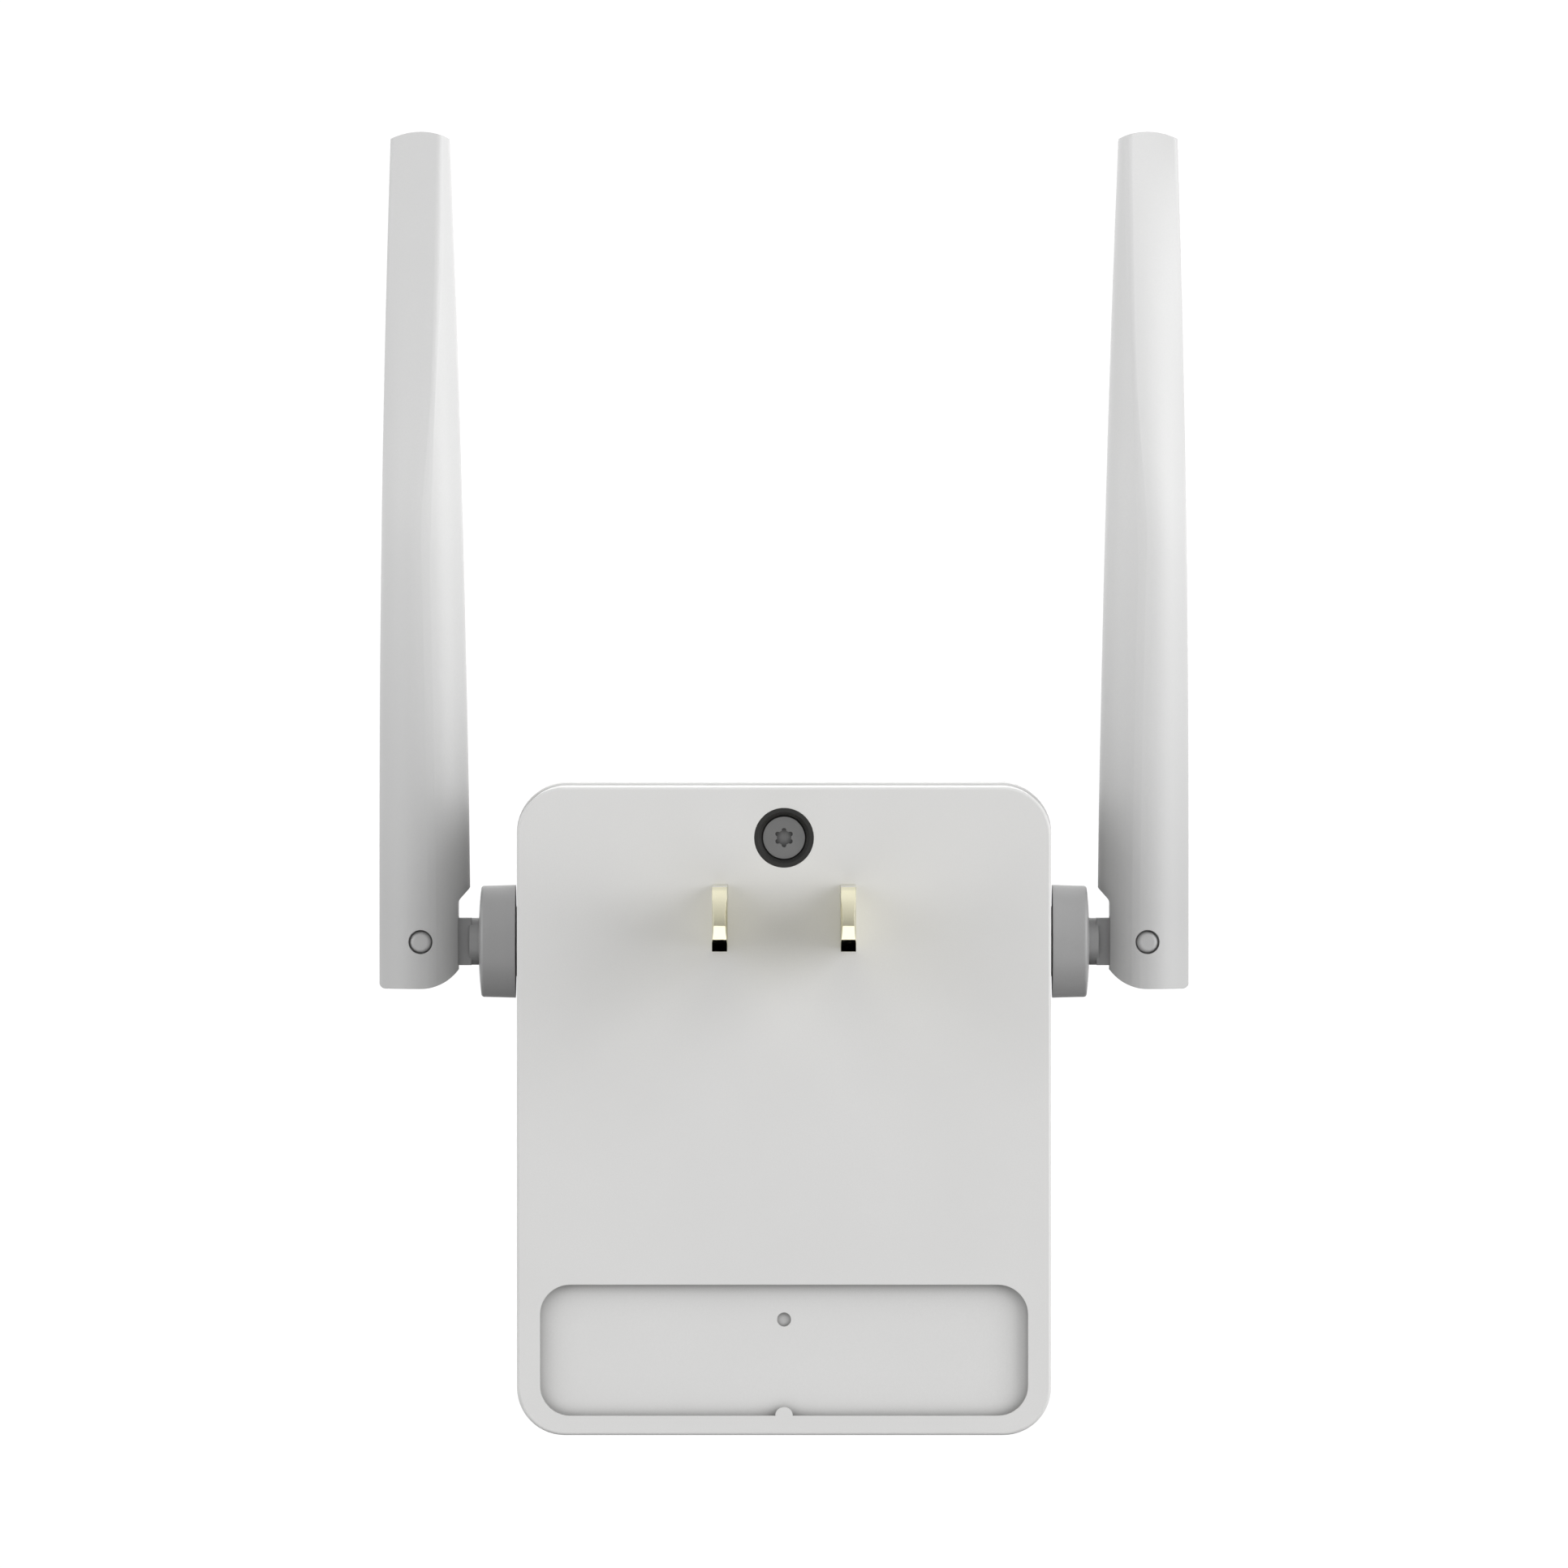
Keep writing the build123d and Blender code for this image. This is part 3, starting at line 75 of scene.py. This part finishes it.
GRAIN = 0.16 * MM              # spacing of the fine spark-eroded texture on moulded parts
GRAIN_DEPTH = 0.003 * MM
SPECKLE = 0.97                 # tone of the grain's peaks
CLOUDS = 14 * MM               # spacing of the flow clouds, and how far they shift the tone
CLOUD_TINT = 0.015
EDGE_RADIUS = 0.12 * MM        # how far moulded edges look rounded
RUBBED_TONE = (0.92, 0.92, 0.91)
PLASTIC_IOR = 1.50
NOOK_BAND = (0.2, 0.95)        # openness, from a closed nook to an open face
NOOK_TONE = 0.25               # tone of a fully shaded nook, as a share of the colour
FOOT_TONE = 0.5                # the same for an antenna's foot
FOOT_Z = 0 * MM                # where an antenna's painted shade is darkest, and where it ends
FOOT_SHADE_TOP_Z = 42 * MM

STAIN_SPACING = 2.5 * MM       # tarnish on metal
TARNISH = 0.06
METAL_EDGE = 0.06 * MM
METAL_NOOK = 0.6 * MM          # how near the walls of a shaded nook are
EDGE_SHINE = 1.08              # tone of metal edges polished by handling

MASK_GREEN = (0.015, 0.11, 0.045)
TRACK_GREEN = (0.04, 0.22, 0.09)
WEAVE_GREEN = (0.012, 0.08, 0.03)
TRACK_CELL = 9 * MM
TRACK_WIDTH = 0.035            # as a share of the cell
TRACK_HEIGHT = 0.02 * MM
WEAVE = 0.4 * MM
BOARD_EDGE = 0.1 * MM

MILK_CLOUDS = 0.8 * MM         # in the lamp windows
MILK_TONES = ((0.80, 0.84, 0.84), (0.92, 0.94, 0.94))
WINDOW_EDGE = 0.05 * MM
WINDOW_DEPTH = 0.004 * MM
CLARITY = 0.45

PAPER_TONES = ((0.90, 0.90, 0.90), (0.94, 0.94, 0.94))
PAPER_MOTTLE = 8 * MM


def new_material(name):
    """An empty node material with a Principled shader; returns it, its tree and that shader."""
    material = bpy.data.materials.new(name)
    material.use_nodes = True
    tree = material.node_tree
    tree.nodes.clear()
    output = tree.nodes.new("ShaderNodeOutputMaterial")
    shader = tree.nodes.new("ShaderNodeBsdfPrincipled")
    tree.links.new(shader.outputs["BSDF"], output.inputs["Surface"])
    return material, tree, shader


def object_coordinates(tree, stretch=(1, 1, 1)):
    """Positions on the object in metres, scaled along each axis."""
    place = tree.nodes.new("ShaderNodeTexCoord")
    mapping = tree.nodes.new("ShaderNodeMapping")
    mapping.inputs["Scale"].default_value = stretch
    tree.links.new(place.outputs["Object"], mapping.inputs["Vector"])
    return mapping.outputs["Vector"]


def noise(tree, vector, spacing, detail):
    """Noise whose blobs are about one spacing apart."""
    node = tree.nodes.new("ShaderNodeTexNoise")
    node.inputs["Scale"].default_value = 1 / spacing
    node.inputs["Detail"].default_value = detail
    tree.links.new(vector, node.inputs["Vector"])
    return node.outputs["Fac"]


def remap(tree, value, from_low, from_high, to_low, to_high):
    """A value stretched from one range to another, and held inside it."""
    node = tree.nodes.new("ShaderNodeMapRange")
    tree.links.new(value, node.inputs["Value"])
    node.inputs["From Min"].default_value = from_low
    node.inputs["From Max"].default_value = from_high
    node.inputs["To Min"].default_value = to_low
    node.inputs["To Max"].default_value = to_high
    return node.outputs["Result"]


def arithmetic(tree, operation, first, second):
    """One sum, product or the like of two node outputs or numbers."""
    node = tree.nodes.new("ShaderNodeMath")
    node.operation = operation
    for socket, value in zip(node.inputs, (first, second)):
        if isinstance(value, (int, float)):
            socket.default_value = value
        else:
            tree.links.new(value, socket)
    return node.outputs["Value"]


def dot_product(tree, first, second):
    """The dot product of a node output with another output or a fixed vector."""
    node = tree.nodes.new("ShaderNodeVectorMath")
    node.operation = "DOT_PRODUCT"
    tree.links.new(first, node.inputs[0])
    if isinstance(second, Vector):
        node.inputs[1].default_value = second
    else:
        tree.links.new(second, node.inputs[1])
    return node.outputs["Value"]


def split_axes(tree, vector):
    """The X, Y and Z of a vector, as three outputs."""
    split = tree.nodes.new("ShaderNodeSeparateXYZ")
    tree.links.new(vector, split.inputs["Vector"])
    return [split.outputs[axis] for axis in "XYZ"]


def blend_colours(tree, factor, first, second):
    """Mixes two colours; each is a colour or the output of another node."""
    node = tree.nodes.new("ShaderNodeMix")
    node.data_type = "RGBA"
    tree.links.new(factor, node.inputs["Factor"])
    for socket, colour in ((node.inputs[6], first), (node.inputs[7], second)):
        if isinstance(colour, tuple):
            socket.default_value = (*colour, 1)
        else:
            tree.links.new(colour, socket)
    return node.outputs[2]


def scaled(colour, factor):
    return tuple(min(channel * factor, 1.0) for channel in colour)


def edge_mask(tree, radius):
    """White along edges sharper than the radius; also returns the rounded normal there."""
    bevel = tree.nodes.new("ShaderNodeBevel")
    bevel.samples = RAY_SAMPLES
    bevel.inputs["Radius"].default_value = radius
    geometry = tree.nodes.new("ShaderNodeNewGeometry")
    rounded = bevel.outputs["Normal"]
    likeness = dot_product(tree, rounded, geometry.outputs["Normal"])
    return remap(tree, likeness, *EDGE_BAND, 0, 1), rounded


def add_bump(tree, shader, height, depth, normal):
    bump = tree.nodes.new("ShaderNodeBump")
    bump.inputs["Distance"].default_value = depth
    tree.links.new(height, bump.inputs["Height"])
    tree.links.new(normal, bump.inputs["Normal"])
    tree.links.new(bump.outputs["Normal"], shader.inputs["Normal"])


def nook_shade(tree, tone, colour, shade, reach, own):
    """Darken a colour where the surface is closed in, by its own piece only or by all pieces."""
    openness = tree.nodes.new("ShaderNodeAmbientOcclusion")
    openness.samples = RAY_SAMPLES
    openness.only_local = own
    openness.inputs["Distance"].default_value = reach
    amount = remap(tree, openness.outputs["AO"], *NOOK_BAND, shade, 0)
    return blend_colours(tree, amount, tone, scaled(colour, NOOK_TONE))


def foot_shade(tree, tone, colour, shade):
    """Paint shade into a colour, gently darker from the top of the shaded band down to FOOT_Z, in the
    object's own height.
    """
    _, _, height = split_axes(tree, object_coordinates(tree))
    amount = remap(tree, height, FOOT_Z, FOOT_SHADE_TOP_Z, shade, 0)
    return blend_colours(tree, amount, tone, scaled(colour, FOOT_TONE))


def moulded(name, colour, roughness, depth=GRAIN_DEPTH, wear=0.06, shade=0.0, reach=4 * MM, own=False,
            foot=0.0):
    """Moulded plastic or rubber: fine grain, faint flow clouds, and edges rubbed smooth and paler.

    Nooks get painted shade, darker by as much as shade, within reach of the surfaces that close them in; with
    own, only the piece's own surfaces count. With foot, painted shade darkens the part towards its lower end
    at FOOT_Z.
    """
    material, tree, shader = new_material(name)
    vector = object_coordinates(tree)
    grain = noise(tree, vector, GRAIN, 3)
    clouds = noise(tree, vector, CLOUDS, 4)
    rubbed, rounded = edge_mask(tree, EDGE_RADIUS)
    tone = blend_colours(tree, remap(tree, clouds, *FULL_BAND, 0, 1),
                         scaled(colour, 1 - CLOUD_TINT), scaled(colour, 1 + CLOUD_TINT))
    tone = blend_colours(tree, remap(tree, grain, *NARROW_BAND, 0, 0.5), tone, scaled(colour, SPECKLE))
    tone = blend_colours(tree, remap(tree, rubbed, 0, 1, 0, wear), tone, RUBBED_TONE)
    if shade:
        tone = nook_shade(tree, tone, colour, shade, reach, own)
    # painted shade, darker towards the lower end of the part
    if foot:
        tone = foot_shade(tree, tone, colour, foot)
    tree.links.new(tone, shader.inputs["Base Color"])
    gloss = remap(tree, grain, *FULL_BAND, roughness - GLOSS_SPREAD, roughness + GLOSS_SPREAD)
    tree.links.new(gloss, shader.inputs["Roughness"])
    shader.inputs["IOR"].default_value = PLASTIC_IOR
    add_bump(tree, shader, grain, depth, rounded)
    return material


def metal(name, colour, roughness, brushed=(1, 1, 1), spacing=0.2 * MM, depth=0.001 * MM, shade=0.0):
    """Metal with fine drawing lines or pits, uneven gloss and faint tarnish; nooks darken by shade."""
    material, tree, shader = new_material(name)
    lines = noise(tree, object_coordinates(tree, brushed), spacing, 4)
    stains = noise(tree, object_coordinates(tree), STAIN_SPACING, 3)
    rubbed, rounded = edge_mask(tree, METAL_EDGE)
    tone = blend_colours(tree, remap(tree, stains, *UPPER_BAND, 0, 1), colour, scaled(colour, 1 - TARNISH))
    tone = blend_colours(tree, remap(tree, rubbed, 0, 1, 0, 0.5), tone, scaled(colour, EDGE_SHINE))
    if shade:
        tone = nook_shade(tree, tone, colour, shade, METAL_NOOK, True)
    tree.links.new(tone, shader.inputs["Base Color"])
    gloss = remap(tree, lines, *FULL_BAND, max(roughness - GLOSS_SPREAD, 0.02), roughness + 0.06)
    tree.links.new(gloss, shader.inputs["Roughness"])
    shader.inputs["Metallic"].default_value = 1.0
    add_bump(tree, shader, lines, depth, rounded)
    return material


def circuit_board(name):
    """Green solder mask over copper tracks, which show as slightly raised, lighter lanes."""
    material, tree, shader = new_material(name)
    vector = object_coordinates(tree)
    lanes = tree.nodes.new("ShaderNodeTexBrick")
    lanes.inputs["Scale"].default_value = 1 / TRACK_CELL
    lanes.inputs["Mortar Size"].default_value = TRACK_WIDTH
    tree.links.new(vector, lanes.inputs["Vector"])
    tracks = lanes.outputs["Fac"]
    weave = noise(tree, vector, WEAVE, 3)
    _, rounded = edge_mask(tree, BOARD_EDGE)
    tone = blend_colours(tree, tracks, MASK_GREEN, TRACK_GREEN)
    tone = blend_colours(tree, remap(tree, weave, 0.4, 0.7, 0, 0.4), tone, WEAVE_GREEN)
    tree.links.new(tone, shader.inputs["Base Color"])
    tree.links.new(remap(tree, weave, *FULL_BAND, 0.28, 0.42), shader.inputs["Roughness"])
    add_bump(tree, shader, tracks, TRACK_HEIGHT, rounded)
    return material


def lamp_window(name):
    """A clear, slightly milky moulding that carries a lamp's light to the front."""
    material, tree, shader = new_material(name)
    clouds = noise(tree, object_coordinates(tree), MILK_CLOUDS, 3)
    _, rounded = edge_mask(tree, WINDOW_EDGE)
    tree.links.new(blend_colours(tree, clouds, *MILK_TONES), shader.inputs["Base Color"])
    tree.links.new(remap(tree, clouds, *FULL_BAND, 0.12, 0.25), shader.inputs["Roughness"])
    shader.inputs["Transmission Weight"].default_value = CLARITY
    add_bump(tree, shader, clouds, WINDOW_DEPTH, rounded)
    return material


# ---------------------------------------------------------------- one material for each slot in the record
PLASTICS = {
    "case_white": dict(colour=(0.700, 0.698, 0.692), roughness=0.46, shade=0.9, reach=4 * MM, own=True),
    "fascia_white": dict(colour=(0.760, 0.760, 0.755), roughness=0.16, depth=0.0006 * MM),
    "antenna_white": dict(colour=(0.710, 0.710, 0.708), roughness=0.44, shade=0.75, reach=60 * MM, foot=0.52),
    "knuckle_grey": dict(colour=(0.350, 0.350, 0.352), roughness=0.42, wear=0.10),
    "pin_white": dict(colour=(0.500, 0.500, 0.500), roughness=0.38),
    "black_rubber": dict(colour=(0.012, 0.012, 0.011), roughness=0.50, wear=0.0),
    "white_nylon": dict(colour=(0.66, 0.66, 0.62), roughness=0.50),
    "ferrite": dict(colour=(0.045, 0.045, 0.047), roughness=0.60, depth=0.01 * MM),
    "black_plastic": dict(colour=(0.020, 0.020, 0.020), roughness=0.45),
    "winding_tape": dict(colour=(0.62, 0.42, 0.03), roughness=0.30),
    "capacitor_sleeve": dict(colour=(0.020, 0.026, 0.060), roughness=0.30),
    "resistor_green": dict(colour=(0.10, 0.26, 0.14), roughness=0.35),
    "ceramic_blue": dict(colour=(0.02, 0.09, 0.40), roughness=0.30),
    "chip_black": dict(colour=(0.025, 0.025, 0.026), roughness=0.55),
    "led_yellow": dict(colour=(0.75, 0.62, 0.20), roughness=0.22),
    "jack_black": dict(colour=(0.018, 0.018, 0.018), roughness=0.40),
    "switch_black": dict(colour=(0.022, 0.022, 0.022), roughness=0.45),
    "button_grey": dict(colour=(0.36, 0.36, 0.365), roughness=0.40),
    "coax_black": dict(colour=(0.018, 0.018, 0.018), roughness=0.48),
}
METALS = {
    "dark_steel": dict(colour=(0.29, 0.29, 0.29), roughness=0.38, spacing=0.12 * MM, depth=0.002 * MM,
                       shade=0.8),
    "blade_brass": dict(colour=(0.93, 0.89, 0.67), roughness=0.06, brushed=(1, 0.06, 1), depth=0.0002 * MM),
    "gold_pins": dict(colour=(0.83, 0.60, 0.24), roughness=0.18),
    "tinned_steel": dict(colour=(0.62, 0.62, 0.61), roughness=0.30, brushed=(1, 1, 0.1)),
    "spring_steel": dict(colour=(0.50, 0.50, 0.49), roughness=0.24, brushed=(0.1, 1, 1)),
}
OTHERS = {"board_green": circuit_board, "clear_plastic": lamp_window}


def slot_material(slot):
    if slot in PLASTICS:
        return moulded(slot, **PLASTICS[slot])
    if slot in METALS:
        return metal(slot, **METALS[slot])
    return OTHERS[slot](slot)


def finish_cad_nodes():
    """Gives every CAD node the detailed material of its slot in the record."""
    made = {}
    for entry in frame["record"]["subparts"]:
        slot = entry["material_slot"]
        if slot not in made:
            made[slot] = slot_material(slot)
        mesh = frame["nodes"][entry["node"]].data
        mesh.materials.clear()
        mesh.materials.append(made[slot])


# ---------------------------------------------------------------- stage, light and camera
def make_floor():
    """A plain pale round floor, well below the part, which hangs from its mains socket in use."""
    vertices = [(FLOOR_RADIUS * cos(radians(a)), FLOOR_RADIUS * sin(radians(a)), FLOOR_Z)
                for a in range(0, 360, FLOOR_STEP)]
    mesh = bpy.data.meshes.new("floor")
    mesh.from_pydata(vertices, [], [list(range(len(vertices)))])
    floor = bpy.data.objects.new("floor", mesh)
    bpy.context.scene.collection.objects.link(floor)
    material, tree, shader = new_material("floor_paper")
    mottle = noise(tree, object_coordinates(tree), PAPER_MOTTLE, 4)
    tree.links.new(blend_colours(tree, mottle, *PAPER_TONES), shader.inputs["Base Color"])
    tree.links.new(remap(tree, mottle, *FULL_BAND, 0.75, 0.9), shader.inputs["Roughness"])
    shader.inputs["Emission Color"].default_value = (1, 1, 1, 1)
    shader.inputs["Emission Strength"].default_value = FLOOR_GLOW
    mesh.materials.append(material)
    floor.visible_diffuse = False
    floor.visible_glossy = False


def mixed(tree, factor, at_zero, at_one):
    """From one output or number to another as the factor goes from 0 to 1."""
    rest = arithmetic(tree, "SUBTRACT", 1, factor)
    return arithmetic(tree, "ADD", arithmetic(tree, "MULTIPLY", factor, at_one),
                      arithmetic(tree, "MULTIPLY", rest, at_zero))


def soft_patch(tree, direction, aim, reach, core):
    """A soft round patch of the studio, full inside its core and gone beyond its reach, in degrees."""
    nearness = dot_product(tree, direction, Vector(aim).normalized())
    return remap(tree, nearness, cos(radians(reach)), cos(radians(core)), 0, 1)


def studio_light(tree):
    """How bright the studio is in each direction: +Y is the camera's side, -X the picture's right."""
    place = tree.nodes.new("ShaderNodeTexCoord")
    direction = place.outputs["Generated"]
    x, y, z = split_axes(tree, direction)
    aside = arithmetic(tree, "ABSOLUTE", x, 0)
    from_level = arithmetic(tree, "ABSOLUTE", z, 0)
    path = tree.nodes.new("ShaderNodeLightPath")
    direct = arithmetic(tree, "LESS_THAN", path.outputs["Diffuse Depth"], 0.5)
    mirrored = arithmetic(tree, "MULTIPLY", path.outputs["Is Glossy Ray"], direct)

    strip = mixed(tree, mirrored, STRIP_ON_MATT, remap(tree, z, *STRIP_RISE, STRIP_LOW, STRIP_HIGH))
    front = mixed(tree, remap(tree, aside, *STRIP_BAND, 0, 1), strip, FRONT_FILL)
    horizon = remap(tree, mirrored, 0, 1, 0, BACK_HORIZON)
    back = mixed(tree, remap(tree, from_level, *HORIZON_BAND, 0, 1), horizon, BACK_FILL)
    total = mixed(tree, remap(tree, y, *FRONT_BAND, 0, 1), back, front)
    for aim, reach, core, strength, mirror_share in SOFT_PATCHES:
        level = remap(tree, mirrored, 0, 1, strength, strength * mirror_share)
        patch = soft_patch(tree, direction, aim, reach, core)
        total = arithmetic(tree, "ADD", total, arithmetic(tree, "MULTIPLY", patch, level))
    card = remap(tree, mirrored, 0, 1, CARD_ON_MATT, 1)
    for edge in (remap(tree, z, CARD_TOP, CARD_TOP - CARD_BLUR, 0, 1), remap(tree, aside, *CARD_SIDE, 0, 1),
                 remap(tree, y, *CARD_FRONT, 0, CARD_LEVEL)):
        card = arithmetic(tree, "MULTIPLY", card, edge)
    total = arithmetic(tree, "ADD", total, card)
    return arithmetic(tree, "MULTIPLY", total, remap(tree, z, CARD_FOOT - CARD_BLUR, CARD_FOOT, 0, 1))


def make_world():
    """A white backdrop for the camera, and the studio's own light on the part."""
    world = bpy.data.worlds.new("studio")
    bpy.context.scene.world = world
    world.use_nodes = True
    tree = world.node_tree
    tree.nodes.clear()
    output = tree.nodes.new("ShaderNodeOutputWorld")
    path = tree.nodes.new("ShaderNodeLightPath")
    mix = tree.nodes.new("ShaderNodeMixShader")
    light = tree.nodes.new("ShaderNodeBackground")
    tree.links.new(studio_light(tree), light.inputs["Strength"])
    backdrop = tree.nodes.new("ShaderNodeBackground")
    backdrop.inputs["Strength"].default_value = BACKDROP_LEVEL
    for node in (light, backdrop):
        node.inputs["Color"].default_value = (1, 1, 1, 1)
    tree.links.new(path.outputs["Is Camera Ray"], mix.inputs["Fac"])
    tree.links.new(light.outputs["Background"], mix.inputs[1])
    tree.links.new(backdrop.outputs["Background"], mix.inputs[2])
    tree.links.new(mix.outputs["Shader"], output.inputs["Surface"])


def make_camera():
    data = bpy.data.cameras.new("camera")
    data.lens = LENS_MM
    data.sensor_width = SENSOR_MM
    data.clip_start = CLIP_NEAR
    data.clip_end = CLIP_FAR
    camera = bpy.data.objects.new("camera", data)
    bpy.context.scene.collection.objects.link(camera)
    back = Vector((0, cos(VIEW_ELEVATION), sin(VIEW_ELEVATION)))
    camera.location = VIEW_TARGET + back * VIEW_DISTANCE
    camera.rotation_euler = (-back).to_track_quat("-Z", "Y").to_euler()
    bpy.context.scene.camera = camera


make_camera()
finish_cad_nodes()
make_floor()
make_world()
bpy.context.scene.view_settings.view_transform = "Standard"
